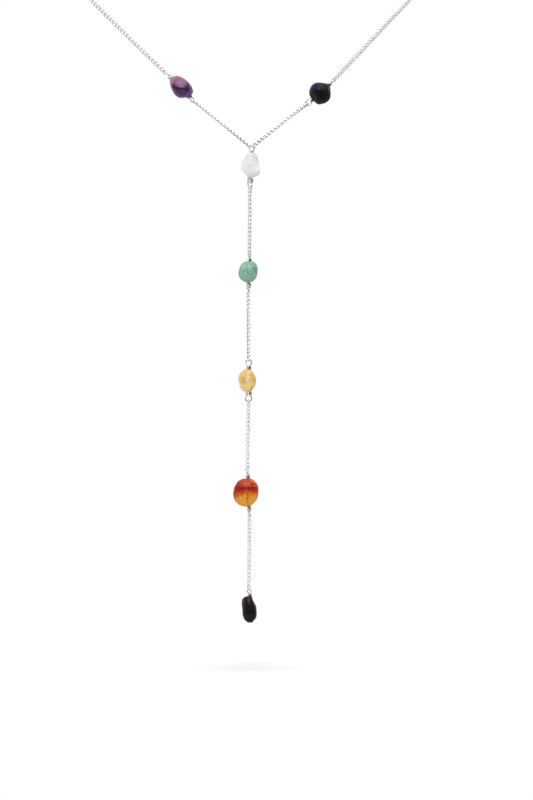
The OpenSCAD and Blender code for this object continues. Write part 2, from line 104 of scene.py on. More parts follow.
# Stones. form: height along the wire, then the reach to the left, right, front
# and back. place: right and up of the loop where the chains meet. upper and
# lower: the coil's diameter and turns, the eye loop's diameter and its turn.
# dark: the ends whose coil gets painted shade in its hollow. flats: worn flat areas, as a
# direction, a distance and how much is worn off. dents: a place, a radius and
# a depth. lumps: how strong the lumps are, where it isn't 1.
TOP, BOTTOM = 1, -1
STONES = {
    "amethyst": {
        "form": [
            (-3.75, 0.7, 0.95, 0.75, 0.7), (-3.45, 0.75, 1.8, 1.25, 1.15),
            (-3.05, 1.0, 2.0, 1.6, 1.5), (-2.5, 1.6, 2.35, 1.95, 1.85),
            (-1.8, 2.2, 2.6, 2.2, 2.1), (-1.0, 2.45, 2.75, 2.3, 2.2),
            (0.0, 2.5, 2.7, 2.3, 2.2), (1.0, 2.15, 2.6, 2.15, 2.05),
            (2.0, 1.75, 2.25, 1.8, 1.7), (3.0, 1.15, 1.65, 1.2, 1.2),
            (3.55, 0.65, 0.85, 0.65, 0.65),
        ],
        "place": (-20.45, 17.15), "tilt": -45, "lean": 11,
        "dark": (BOTTOM,),
        "upper": (1.5, 2, 1.5, 80), "lower": (1.3, 1, 1.5, 45),
        "flats": [((0.45, -0.85, 0.25), 2.05, 0.7), ((-0.6, -0.75, -0.2), 2.1, 0.6)],
        "dents": [],
    },
    "sodalite": {
        "form": [
            (-3.15, 0.9, 1.5, 0.9, 0.9), (-2.85, 1.6, 2.3, 1.5, 1.45),
            (-2.2, 2.25, 2.75, 2.15, 2.1), (-1.2, 2.9, 3.3, 2.7, 2.6),
            (-0.2, 3.05, 3.4, 2.9, 2.8), (0.8, 2.8, 3.1, 2.8, 2.6),
            (1.7, 2.0, 2.4, 2.3, 2.2), (2.4, 1.1, 1.7, 1.5, 1.5),
            (2.9, 0.7, 0.95, 0.7, 0.7),
        ],
        "place": (19.25, 15.95), "tilt": 48.8, "lean": 9.5,
        "dark": (TOP, BOTTOM),
        "upper": (1.3, 1, 1.5, 80), "lower": (1.45, 1, 1.6, 0),
        "flats": [((-0.3, -0.9, 0.4), 2.6, 0.5)],
        "dents": [((0.9, -0.9, 2.6), 0.8, 0.25), ((-0.2, -0.9, -2.8), 0.7, 0.3)],
    },
    "quartz": {
        "form": [
            (-3.4, 0.7, 0.75, 0.7, 0.7), (-3.0, 1.1, 1.65, 1.2, 1.2),
            (-2.5, 1.4, 2.4, 1.75, 1.65), (-1.9, 2.2, 2.55, 2.15, 2.05),
            (-1.2, 2.65, 2.6, 2.4, 2.2), (0.0, 2.75, 2.4, 2.3, 2.1),
            (1.3, 2.35, 2.1, 2.0, 1.8), (2.4, 1.75, 1.85, 1.6, 1.5),
            (3.1, 1.35, 1.6, 1.35, 1.25), (3.6, 0.95, 1.05, 0.9, 0.85),
        ],
        "place": (-0.45, -4.9), "tilt": 2.4, "lean": 0,
        "dark": (BOTTOM,),
        "upper": (1.6, 1, 1.6, 0), "lower": (1.9, 3, 1.5, -45),
        "flats": [((-0.75, -0.6, 0.25), 2.0, 0.5), ((-0.1, -0.97, -0.2), 2.05, 0.35),
                  ((0.6, -0.75, 0.3), 2.1, 0.45)],
        "dents": [], "lumps": 0.5,
    },
    "aventurine": {
        "form": [
            (-3.0, 0.8, 0.55, 0.65, 0.65), (-2.7, 1.65, 0.95, 1.25, 1.15),
            (-2.1, 2.55, 1.65, 1.95, 1.85), (-1.3, 2.9, 2.15, 2.3, 2.2),
            (-0.4, 3.05, 2.4, 2.5, 2.4), (0.5, 2.95, 2.5, 2.5, 2.4),
            (1.3, 2.75, 2.4, 2.3, 2.2), (2.0, 2.35, 2.1, 1.95, 1.9),
            (2.6, 1.75, 1.55, 1.45, 1.4), (2.95, 1.1, 0.95, 0.75, 0.75),
        ],
        "place": (-0.95, -34.85), "tilt": 1.5, "lean": 0,
        "dark": (TOP, BOTTOM),
        "upper": (1.3, 1, 1.4, 75), "lower": (1.45, 3, 1.5, -80),
        "flats": [((-0.2, -0.97, 0.1), 2.3, 0.6)],
        "dents": [((0.5, -2.4, 0.3), 0.6, 0.08)],
    },
    "citrine": {
        "form": [
            (-3.0, 1.2, 0.75, 0.8, 0.8), (-2.7, 1.75, 1.05, 1.25, 1.25),
            (-2.3, 2.1, 1.35, 1.55, 1.5), (-1.5, 2.55, 1.8, 1.9, 1.8),
            (-0.5, 2.7, 2.1, 2.1, 2.0), (0.6, 2.85, 2.2, 2.2, 2.0),
            (1.5, 2.7, 1.95, 2.0, 1.9), (2.3, 2.35, 1.45, 1.6, 1.5),
            (3.0, 1.65, 0.85, 1.0, 1.0), (3.4, 1.1, 0.55, 0.6, 0.6),
        ],
        "place": (-1.1, -65.7), "tilt": 0.2, "lean": 0,
        "dark": (TOP, BOTTOM),
        "upper": (1.5, 2, 1.65, 0), "lower": (2.05, 2, 1.75, 0),
        "flats": [((0.3, -0.9, -0.35), 1.95, 0.6), ((-0.5, -0.85, 0.15), 2.1, 0.6)],
        "dents": [],
    },
    "carnelian": {
        "form": [
            (-4.0, 0.95, 0.5, 0.65, 0.65), (-3.65, 2.35, 0.7, 1.5, 1.4),
            (-2.9, 3.4, 1.7, 2.25, 2.05), (-1.9, 4.05, 2.45, 2.7, 2.5),
            (-0.7, 4.3, 2.75, 2.9, 2.7), (0.6, 4.25, 2.85, 2.9, 2.7),
            (1.7, 4.0, 2.75, 2.7, 2.5), (2.7, 3.4, 2.2, 2.3, 2.1),
            (3.4, 2.8, 1.75, 1.75, 1.55), (3.95, 1.4, 0.65, 0.85, 0.85),
        ],
        "place": (-1.15, -97.2), "tilt": -2.6, "lean": 0,
        "dark": (TOP, BOTTOM),
        "upper": (1.3, 2, 1.5, 80), "lower": (1.25, 3, 1.5, -80),
        "flats": [((-0.1, -0.97, 0.25), 2.75, 0.6)],
        "dents": [],
    },
    "onyx": {
        "form": [
            (-3.75, 0.9, 0.35, 0.5, 0.5), (-3.35, 1.5, 0.7, 1.0, 1.0),
            (-2.7, 2.0, 1.35, 1.4, 1.4), (-1.7, 2.25, 1.7, 1.7, 1.6),
            (-0.5, 2.35, 1.8, 1.8, 1.7), (0.8, 2.35, 1.65, 1.8, 1.7),
            (1.8, 2.35, 1.25, 1.6, 1.5), (2.6, 2.25, 0.9, 1.35, 1.35),
            (3.2, 2.05, 0.8, 1.05, 1.05), (3.7, 1.2, 0.65, 0.65, 0.65),
        ],
        "place": (-0.6, -130.3), "tilt": -4.1, "lean": 0,
        "dark": (TOP,),
        "upper": (1.35, 1, 1.6, 50), "lower": None,
        "flats": [],
        "dents": [((0.9, -0.3, 2.9), 0.9, 0.12)],
    },
}


# Places, as in the CAD.
def unit(v):
    v = np.asarray(v, float)
    return v / np.linalg.norm(v)


def picture_right(v):
    return unit(np.cross([0, 1, 0], v))


def wire_axis(s):
    lean, tilt = radians(s["lean"]), radians(s["tilt"])
    return np.array([
        math.cos(lean) * math.sin(tilt), math.sin(lean), math.cos(lean) * math.cos(tilt)
    ])


def middle(s):
    x, z = s["place"]
    return FRONT + [x, FRONT_LEAN * max(z, 0), z]


def end_data(s, end):
    return s["upper"] if end == TOP else s["lower"]


def loop_radius(s, end):
    return end_data(s, end)[2] / 2


def stone_reach(s, end):
    return abs(s["form"][-1 if end == TOP else 0][0])


def coil_start(s, end):
    return stone_reach(s, end) + SEAT_GAP


def loop_reach(s, end):
    return (coil_start(s, end) + SEAT_GAP + end_data(s, end)[1] * COIL_PITCH
            + EYE_WIRE / 2 + loop_radius(s, end))


def loop_centre(s, end):
    return middle(s) + wire_axis(s) * end * loop_reach(s, end)


def loop_point(s, end, along):
    axis = wire_axis(s)
    x = picture_right(axis)
    turn = radians(end_data(s, end)[3])
    n = np.cross(axis, x) * math.cos(turn) - x * math.sin(turn)
    return loop_centre(s, end) + loop_radius(s, end) * unit(along - n * np.dot(along, n))


def half_turn(a):
    return a - 180 * round(a / 180)


def start_roll(turn):
    return half_turn(turn - 90 + SEAT_ROLL)


def end_roll(turn):
    return half_turn(turn - 90 - SEAT_ROLL)


def section_rolls(n, first, mid, last):
    over = min(EASED_LINKS, (n - 1) / 2)
    return [
        mid + half_turn(first - mid) * max(0, 1 - i / over)
        + half_turn(last - mid) * max(0, 1 - (n - 1 - i) / over)
        for i in range(n)
    ]


# Meshes.
def smooth_curve(points, steps):
    """A centripetal Catmull-Rom curve through points, of any dimension."""
    p = np.asarray(points, float)
    p = np.vstack([2 * p[0] - p[1], p, 2 * p[-1] - p[-2]])
    knots = np.concatenate([[0], np.cumsum(np.sqrt(np.linalg.norm(np.diff(p, axis=0), axis=1)))])
    out = []
    for i in range(1, len(p) - 2):
        k0, k1, k2, k3 = knots[i - 1:i + 3]
        for t in np.linspace(k1, k2, steps, endpoint=False):
            a1 = ((k1 - t) * p[i - 1] + (t - k0) * p[i]) / (k1 - k0)
            a2 = ((k2 - t) * p[i] + (t - k1) * p[i + 1]) / (k2 - k1)
            a3 = ((k3 - t) * p[i + 1] + (t - k2) * p[i + 2]) / (k3 - k2)
            b1 = ((k2 - t) * a1 + (t - k0) * a2) / (k2 - k0)
            b2 = ((k3 - t) * a2 + (t - k1) * a3) / (k3 - k1)
            out.append(((k2 - t) * b1 + (t - k1) * b2) / (k2 - k1))
    out.append(p[-2])
    return np.array(out)


def even_steps(line, step):
    """The same line, with points at equal steps."""
    lengths = np.concatenate([[0], np.cumsum(np.linalg.norm(np.diff(line, axis=0), axis=1))])
    at = np.linspace(0, lengths[-1], max(2, round(lengths[-1] / step) + 1))
    return np.column_stack([np.interp(at, lengths, line[:, k]) for k in range(3)])


def ring_faces(rings, sides, closed):
    i = np.arange(rings if closed else rings - 1)[:, None]
    j = np.arange(sides)[None, :]
    k, m = (i + 1) % rings, (j + 1) % sides
    return np.stack([i * sides + j, k * sides + j, k * sides + m, i * sides + m], -1).reshape(-1, 4)


def carried_frames(line, right):
    """Directions across a line, carried along it without a twist."""
    tangents = np.gradient(line, axis=0)
    tangents /= np.linalg.norm(tangents, axis=1)[:, None]
    rights = []
    for t in tangents:
        right = unit(right - t * np.dot(right, t))
        rights.append(right)
    rights = np.array(rights)
    return rights, np.cross(tangents, rights)


def tube_mesh(line, radii, sides):
    """A round wire along an open line, closed at both ends."""
    t = unit(line[1] - line[0])
    start = np.cross(t, [0, 1, 0] if abs(t[1]) < 0.9 else [1, 0, 0])
    right, up = carried_frames(line, unit(start))
    a = 2 * math.pi * np.arange(sides) / sides
    across = right[:, None] * np.cos(a)[None, :, None] + up[:, None] * np.sin(a)[None, :, None]
    verts = (line[:, None] + across * np.asarray(radii)[:, None, None]).reshape(-1, 3)
    last = (len(line) - 1) * sides
    caps = [list(range(sides))[::-1], [last + j for j in range(sides)]]
    return verts, ring_faces(len(line), sides, False).tolist() + caps


def make_object(name, verts, faces, material, matrix=None):
    mesh = bpy.data.meshes.new(name)
    faces = faces if isinstance(faces, list) else faces.tolist()
    mesh.from_pydata((np.asarray(verts) * MM).tolist(), [], faces)
    mesh.update()
    mesh.shade_smooth()
    mesh.materials.append(material)
    obj = bpy.data.objects.new(name, mesh)
    bpy.context.scene.collection.objects.link(obj)
    if matrix is not None:
        obj.matrix_world = matrix
    return obj


# Chains.
def link_template(arc_steps=9, side_steps=3):
    """One link along X, twisted like a curb link, as rings of points."""
    r, s = LINK_WIDTH / 2, LINK_LENGTH / 2 - LINK_WIDTH / 2
    arc = np.linspace(0, math.pi, arc_steps, endpoint=False)
    side = np.linspace(1, -1, side_steps, endpoint=False)
    flat = np.vstack([
        np.column_stack([s + r * np.sin(arc), r * np.cos(arc)]),
        np.column_stack([s * side, np.full(side_steps, -r)]),
        np.column_stack([-s - r * np.sin(arc), -r * np.cos(arc)]),
        np.column_stack([-s * side, np.full(side_steps, r)]),
    ])
    u = flat[:, 0] / (LINK_LENGTH / 2)
    twist = np.radians(LINK_TWIST * u * (1.3 - 0.3 * u * u))
    line = np.column_stack([flat[:, 0], flat[:, 1] * np.cos(twist), flat[:, 1] * np.sin(twist)])
    t = np.roll(line, -1, axis=0) - np.roll(line, 1, axis=0)
    t /= np.linalg.norm(t, axis=1)[:, None]
    b = np.cross(t, line)
    b /= np.linalg.norm(b, axis=1)[:, None]
    out = np.cross(b, t)
    a = 2 * math.pi * np.arange(LINK_SIDES) / LINK_SIDES
    rings = line[:, None] + LINK_WIRE / 2 * (
        out[:, None] * np.cos(a)[None, :, None] + b[:, None] * np.sin(a)[None, :, None])
    return rings.reshape(-1, 3), ring_faces(len(line), LINK_SIDES, True)


LINK_VERTS, LINK_FACES = link_template()
LINK_RECESS = np.isin(np.arange(len(LINK_FACES)) % LINK_SIDES, RECESS_SIDES)


def link_chain(name, centres, alongs, rights, rolls, material, recess):
    """One mesh of links, each turned about the chain by its own roll."""
    verts, faces = [], []
    for i, (c, along, right, roll) in enumerate(zip(centres, alongs, rights, rolls)):
        back = np.cross(along, right)
        a = radians(roll)
        y = right * math.cos(a) + back * math.sin(a)
        z = back * math.cos(a) - right * math.sin(a)
        verts.append(c + LINK_VERTS @ np.array([along, y, z]))
        faces.append(LINK_FACES + i * len(LINK_VERTS))
    chain = make_object(name, np.vstack(verts), np.vstack(faces), material)
    # the recess material gives the sides facing the link's middle painted shade, with some tarnish
    chain.data.materials.append(recess)
    chain.data.polygons.foreach_set("material_index", np.tile(LINK_RECESS, len(centres)).astype(np.int32))
    return chain


def chain_between(name, lower, upper, mid_roll, material, recess):
    way = loop_centre(upper, BOTTOM) - loop_centre(lower, TOP)
    start = loop_point(lower, TOP, way)
    stop = loop_point(upper, BOTTOM, -way)
    along = unit(stop - start)
    first, last = start + along * SEAT_REACH, stop - along * SEAT_REACH
    n = round(np.linalg.norm(last - first) / LINK_PITCH) + 1
    rolls = section_rolls(n, start_roll(lower["upper"][3]), mid_roll, end_roll(upper["lower"][3]))
    centres = [first + (last - first) * i / (n - 1) for i in range(n)]
    right = picture_right(along)
    return link_chain(name, centres, [along] * n, [right] * n, rolls, material, recess)


def neck_chain(name, stone, route, mid_roll, material, recess):
    route = np.array(route, float)
    start = loop_point(stone, TOP, route[0] - loop_centre(stone, TOP))
    stop = np.array([math.copysign(CLASP_LOOP_X + CLASP_LOOP_R, route[0][0]), 0, 0])
    near = start + unit(route[0] - start) * 2 * LINK_PITCH
    far = stop + unit(route[-1] - stop) * 2 * LINK_PITCH
    curve = smooth_curve([near, *route, far], 40)
    line = even_steps(np.vstack([start, curve, stop]), ROUTE_STEP)
    right = carried_frames(line, picture_right(line[1] - line[0]))[0]
    reach = round(SEAT_REACH / ROUTE_STEP)
    end = len(line) - 1
    n = round((end - 2 * reach) * ROUTE_STEP / LINK_PITCH) + 1
    at = np.round(np.linspace(reach, end - reach, n)).astype(int)
    alongs = [unit(line[min(i + ROUTE_SPAN, end)] - line[max(i - ROUTE_SPAN, 0)]) for i in at]
    rights = [unit(right[i] - a * np.dot(right[i], a)) for i, a in zip(at, alongs)]
    # the last link's roll, turned from its own frame into the carried one
    own = picture_right(alongs[-1])
    back = np.cross(alongs[-1], rights[-1])
    turn = math.degrees(math.atan2(np.dot(own, back), np.dot(own, rights[-1])))
    rolls = section_rolls(n, start_roll(stone["upper"][3]), mid_roll, end_roll(0) + turn)
    return link_chain(name, line[at], alongs, rights, rolls, material, recess)


# Wires.
def wrapped_end(s, end):
    """From the stem round the eye loop and down the coil to the cut end."""
    coil_d, turns, loop_d, turn = end_data(s, end)
    top, r = loop_reach(s, end), loop_d / 2
    u = np.array([math.cos(radians(turn)), math.sin(radians(turn)), 0])
    n = np.array([u[1], -u[0], 0])
    z = np.array([0, 0, 1.0])
    coil_r = coil_d / 2 - EYE_WIRE / 2
    points = [z * (top - r - depth) for depth in STEM_DEPTHS]
    for a in LOOP_ANGLES:
        front = min(1, max(0, (a - LOOP_LEAVES) / (LOOP_ANGLES.stop - LOOP_LEAVES)))
        front = front * front * (3 - 2 * front)
        c, w = math.cos(radians(a)), math.sin(radians(a))
        points.append(z * top + r * (c * u + w * z) + n * front * LOOP_FRONT * coil_r)
    high, low = top - r - SEAT_GAP, coil_start(s, end) + EYE_WIRE / 2
    sweep = 360 * turns + COIL_OVER
    steps = round(sweep / COIL_STEP)
    for i in range(1, steps + 1):
        a = radians(90 - sweep * i / steps)
        points.append(z * (high + (low - high) * i / steps) + coil_r * (math.cos(a) * u + math.sin(a) * n))
    a = radians(90 - sweep)
    away = math.sin(a) * u - math.cos(a) * n
    points.append(points[-1] + CUT_END[0] * away + CUT_END[1] * (math.cos(a) * u + math.sin(a) * n))
    return np.array(points) * [1, 1, end]


def wire_line(s):
    upper = wrapped_end(s, TOP)
    if s["lower"]:
        lower = wrapped_end(s, BOTTOM)[::-1]
    else:
        lower = np.array([[0, 0, stone_reach(s, TOP) - BLIND_DEPTH + GLUE_GAP]])
    return even_steps(smooth_curve(np.vstack([lower, upper]), 8), WIRE_STEP)


def stone_matrix(s):
    return (Matrix.Translation(Vector(middle(s) * MM)) @ Matrix.Rotation(radians(s["tilt"]), 4, "Y")
            @ Matrix.Rotation(-radians(s["lean"]), 4, "X"))


def stone_wire(name, s, material):
    line = wire_line(s)
    radii = np.full(len(line), EYE_WIRE / 2)
    radii[[0, -1]] *= CUT_THIN
    verts, faces = tube_mesh(line, radii, WIRE_SIDES)
    return make_object(name, verts, faces, material, stone_matrix(s))


# Stones.
def round_row(height, r):
    return np.array([height, r, r, r, r, 1.0])


def stone_rows(s):
    """Rows of a stone's outside and of its drill hole, in one closed round."""
    form = [np.array([*row, ROUNDNESS]) for row in s["form"]]

    def mouth(row, end):
        h = row[0]
        rim = [0.5 * (v + RIM_R) for v in row[1:5]]
        return [np.array([h + end * RIM_RISE, *rim, RIM_ROUNDNESS]),
                *[round_row(h - end * depth, r) for depth, r in MOUTH_ROWS]]

    top = mouth(form[-1], TOP)
    if not s["lower"]:
        h = form[-1][0] - BLIND_DEPTH
        rows = smooth_curve([round_row(form[0][0] - TIP_RISE, 0.0), *form, *top], STONE_STEPS)
        return np.vstack([rows, round_row(h, BORE_R), round_row(h - HOLE_TIP, 0.0)]), False
    bottom = mouth(form[0], BOTTOM)[::-1]
    return smooth_curve([*bottom, *form, *top], STONE_STEPS), True


def stone_mesh(s, seed):
    """A tumbled stone: its rows, then lumps, worn flats and dents."""
    rows, closed = stone_rows(s)
    a = 2 * math.pi * np.arange(STONE_SIDES) / STONE_SIDES
    c, w = np.cos(a)[None], np.sin(a)[None]
    power = rows[:, 5:6]
    c = np.sign(c) * np.abs(c) ** power
    w = np.sign(w) * np.abs(w) ** power
    x = c * np.where(c > 0, rows[:, 2:3], rows[:, 1:2])
    y = w * np.where(w > 0, rows[:, 4:5], rows[:, 3:4])
    z = np.repeat(rows[:, 0:1], STONE_SIDES, axis=1)
    verts = np.stack([x, y, z], -1).reshape(-1, 3)
    reach = np.linalg.norm(verts[:, :2], axis=1)
    fade = np.clip((reach - MOUTH_SMOOTH) / MOUTH_FADE, 0, 1)
    offset = Vector([seed * step for step in LUMP_PLACE])
    lumps = np.array([
        sum(noise.noise(Vector(v) * often + offset) * high for often, high in LUMPS) for v in verts
    ])
    outward = verts / np.maximum(np.linalg.norm(verts, axis=1), 0.2)[:, None]
    verts += outward * (s.get("lumps", 1.0) * lumps * fade)[:, None]
    for way, distance, worn in s["flats"]:
        way = unit(way)
        over = verts @ way - distance
        soft = 0.5 * (over + np.sqrt(over * over + FLAT_EDGE))
        verts -= way * (soft * worn * fade)[:, None]
    for place, radius, depth in s["dents"]:
        near = np.exp(-(np.linalg.norm(verts - np.array(place), axis=1) / radius) ** 2)
        verts -= outward * (near * depth * fade)[:, None]
    return verts, ring_faces(len(rows), STONE_SIDES, closed).tolist()


# Materials.
def srgb(r, g, b):
    def linear(v):
        v /= 255
        return v / 12.92 if v <= 0.04045 else ((v + 0.055) / 1.055) ** 2.4
    return (linear(r), linear(g), linear(b), 1.0)


class Shader:
    """A material's node tree, with short ways to add nodes."""

    def __init__(self, name):
        self.material = bpy.data.materials.new(name)
        self.material.use_nodes = True
        self.tree = self.material.node_tree
        self.surface = self.tree.nodes["Principled BSDF"]

    def node(self, kind, inputs=(), **props):
        made = self.tree.nodes.new(kind)
        for key, value in props.items():
            setattr(made, key, value)
        for key, value in dict(inputs).items():
            self.put(made.inputs[key], value)
        return made

    def put(self, socket, value):
        if isinstance(value, bpy.types.NodeSocket):
            self.tree.links.new(value, socket)
        else:
            socket.default_value = value

    def place(self):
        """Coordinates on the piece, in millimetres."""
        coords = self.node("ShaderNodeTexCoord").outputs["Object"]
        return self.vector("SCALE", coords, scale=1000)

    def vector(self, operation, a, b=None, scale=None):
        made = self.node("ShaderNodeVectorMath", operation=operation)
        self.put(made.inputs[0], a)
        if b is not None:
            self.put(made.inputs[1], b)
        if scale is not None:
            self.put(made.inputs["Scale"], scale)
        return made.outputs["Value" if operation in ("LENGTH", "DOT_PRODUCT") else "Vector"]

    def math(self, operation, a, b=0.0, c=0.0):
        made = self.node("ShaderNodeMath", operation=operation)
        for socket, value in zip(made.inputs, (a, b, c)):
            self.put(socket, value)
        return made.outputs[0]

    def noise(self, at, scale, detail=3.0, roughness=0.5, colour=False):
        made = self.node("ShaderNodeTexNoise", {"Vector": at, "Scale": scale, "Detail": detail,
                                                "Roughness": roughness})
        return made.outputs["Color" if colour else "Fac"]

    def shifted(self, at, scale, amount):
        """Coordinates pushed about by noise."""
        away = self.vector("SUBTRACT", self.noise(at, scale, 2.0, 0.5, True), (0.5, 0.5, 0.5))
        return self.vector("ADD", at, self.vector("SCALE", away, scale=2 * amount))

    def reach(self, at, scale):
        """The distance from the origin, with each axis scaled."""
        return self.vector("LENGTH", self.vector("MULTIPLY", at, scale))

    def along(self, at, way):
        return self.vector("DOT_PRODUCT", at, way)

    def spread(self, value, low, high, to_low=0.0, to_high=1.0):
        made = self.node("ShaderNodeMapRange", {"Value": value, "From Min": low, "From Max": high,
                                                "To Min": to_low, "To Max": to_high},
                         interpolation_type="SMOOTHSTEP")
        return made.outputs[0]

    def spread_linear(self, value, low, high):
        return self.node("ShaderNodeMapRange", {"Value": value, "From Min": low, "From Max": high}).outputs[0]

    def spot(self, at, centre, size, soft=0.35):
        """1 inside an ellipsoid, falling softly to 0 outside it."""
        away = self.vector("DIVIDE", self.vector("SUBTRACT", at, centre), size)
        return self.spread(self.vector("LENGTH", away), 1 + soft, 1 - soft)

    def mix(self, amount, a, b, blend="MIX"):
        made = self.node("ShaderNodeMix", data_type="RGBA", blend_type=blend)
        self.put(made.inputs["Factor"], amount)
        colours = [i for i in made.inputs if i.type == "RGBA"]
        self.put(colours[0], a)
        self.put(colours[1], b)
        return next(o for o in made.outputs if o.type == "RGBA")

    def tint(self, mask, amount, a, b, blend="MIX"):
        """a, with b over it by this amount where the mask is 1."""
        return self.mix(self.math("MULTIPLY", mask, amount), a, b, blend)

    def ramp(self, value, stops):
        made = self.node("ShaderNodeValToRGB", {"Fac": value})
        elements = made.color_ramp.elements
        elements.remove(elements[1])
        elements[0].position, elements[0].color = stops[0]
        for position, colour in stops[1:]:
            elements.new(position).color = colour
        return made.outputs["Color"]

    def bump(self, height, distance, strength=1.0):
        made = self.node("ShaderNodeBump", {"Height": height, "Strength": strength, "Distance": distance})
        return made.outputs["Normal"]

    def finish(self, **inputs):
        for key, value in inputs.items():
            self.put(self.surface.inputs[key.replace("_", " ")], value)
        return self.material


def silver(name, low, high):
    """Polished plate: fine scratches, and a tone that wanders a little."""
    m = Shader(name)
    at = m.place()
    tone = m.spread(m.noise(at, 1.3, 4.0, 0.6), 0.35, 0.65)
    fine = m.noise(m.vector("MULTIPLY", at, (14.0, 14.0, 5.0)), 1.0, 4.0, 0.7)
    rough = m.spread(m.noise(at, 3.0, 3.0), 0.35, 0.7, 0.16, 0.3)
    return m.finish(Base_Color=m.mix(tone, low, high), Metallic=1.0, Roughness=rough,
                    Normal=m.bump(fine, 0.00001, 0.35))


def wire_silver(name, s):
    """Plated wire, with painted shade in the hollow at the right of each coil and where it sits on the stone.
    """
    m = Shader(name)
    at = m.place()
    tone = m.spread(m.noise(at, 2.6, 4.0, 0.65), 0.35, 0.65)
    colour = m.mix(tone, srgb(176, 176, 174), srgb(242, 242, 241))
    ragged = m.shifted(at, 2.0, 0.25)
    for end in s["dark"]:
        height = end * (coil_start(s, end) + 0.3)
        # painted shade in the hollow at the right of the coil
        hollow = m.spot(ragged, (0.4, -0.3, height), (0.55, 1.0, 0.35), 0.5)
        colour = m.tint(hollow, 0.85, colour, srgb(58, 44, 38))
        # painted shade where the coil sits on the stone
        seat_shade = m.spot(ragged, (-0.5, -0.6, end * coil_start(s, end)), (0.4, 0.6, 0.2), 0.5)
        colour = m.tint(seat_shade, 0.6, colour, srgb(84, 74, 66))
    fine = m.noise(m.vector("MULTIPLY", at, (14.0, 14.0, 5.0)), 1.0, 4.0, 0.7)
    rough = m.spread(m.noise(at, 3.0, 3.0), 0.35, 0.7, 0.12, 0.28)
    return m.finish(Base_Color=colour, Metallic=1.0, Roughness=rough, Normal=m.bump(fine, 0.00001, 0.35))


def polish(m, at, smooth, worn, shine=0.3, pitted=0.45):
    patches = m.noise(at, 1.1, 4.0, 0.6)
    pits = m.spread(m.noise(at, 5.5, 3.0, 0.6), 0.28, 0.42)
    grain = m.noise(at, 2.4, 5.0, 0.6)
    height = m.math("ADD", pits, m.math("MULTIPLY", grain, 0.8))
    return {"Roughness": m.spread(patches, 0.35, 0.7, smooth, worn),
            "Specular_IOR_Level": shine, "Normal": m.bump(height, 0.00002, pitted)}


def mouths(m, at, colour, form, dark, amount=0.8):
    """The dark, slightly ragged edge of the drill hole at each end: partly the edge's own brownish colour,
    partly painted shade in the hole's mouth.
    """
    ragged = m.shifted(at, 2.5, 0.12)
    for height in (form[0][0], form[-1][0]):
        hole = m.spot(ragged, (0.0, 0.0, height), (0.75, 0.75, 0.3), 0.45)
        colour = m.tint(hole, amount, colour, dark)
    return colour


def amethyst(form):
    m = Shader("amethyst")
    at = m.place()
    near = m.shifted(at, 0.55, 0.45)
    # the pink face lies inside an arc, and the dark seam runs along it
    away = m.vector("MULTIPLY", m.vector("ADD", near, (-1.2, 0.0, -0.8)), (1.0, 0.0, 1.0))
    across = m.vector("LENGTH", away)
    colour = m.ramp(m.spread_linear(across, 0.0, 5.0), [
        (0.00, srgb(142, 100, 142)), (0.22, srgb(132, 92, 130)), (0.33, srgb(112, 78, 106)),
        (0.39, srgb(92, 58, 86)), (0.43, srgb(46, 20, 60)), (0.47, srgb(44, 20, 60)),
        (0.52, srgb(78, 48, 96)), (0.66, srgb(82, 52, 100)), (0.80, srgb(90, 58, 108)),
        (1.00, srgb(116, 78, 126)),
    ])
    upper = m.spread(m.along(near, (-0.2, 0, 1)), 1.7, 2.6)
    colour = m.mix(upper, colour, srgb(148, 104, 146))
    streak = m.noise(m.vector("MULTIPLY", m.shifted(at, 0.8, 0.4), (1.7, 1.7, 0.45)), 1.6, 4.0, 0.65)
    pale = m.math("MULTIPLY", m.spread(streak, 0.5, 0.68), m.spread(across, 1.9, 0.8))
    colour = m.tint(pale, 0.22, colour, srgb(160, 114, 156))
    dull = m.math("MULTIPLY", m.spread(streak, 0.5, 0.38), m.spread(across, 2.0, 1.0))
    colour = m.tint(dull, 0.4, colour, srgb(122, 88, 98))
    block = m.spot(near, (1.1, -1.2, -2.15), (0.7, 2.2, 0.65), 0.5)
    colour = m.tint(block, 0.9, colour, srgb(48, 14, 68))
    inner = m.vector("ADD", near, (-0.3, 0.0, 0.1))
    rim = m.spread(m.reach(inner, (0.39, 0.0, 0.28)), 0.78, 0.94)
    rim = m.math("MULTIPLY", rim, m.spread(m.along(near, (0.3, 0, 1)), -2.0, 0.6, 0.25, 0.85))
    colour = m.mix(rim, colour, srgb(162, 114, 158))
    colour = mouths(m, at, colour, form[:1], srgb(58, 30, 34))
    return m.finish(Base_Color=colour, Subsurface_Weight=0.06, Subsurface_Radius=(0.9, 0.5, 0.9),
                    Subsurface_Scale=0.001, IOR=1.54, **polish(m, at, 0.2, 0.38, 0.2))


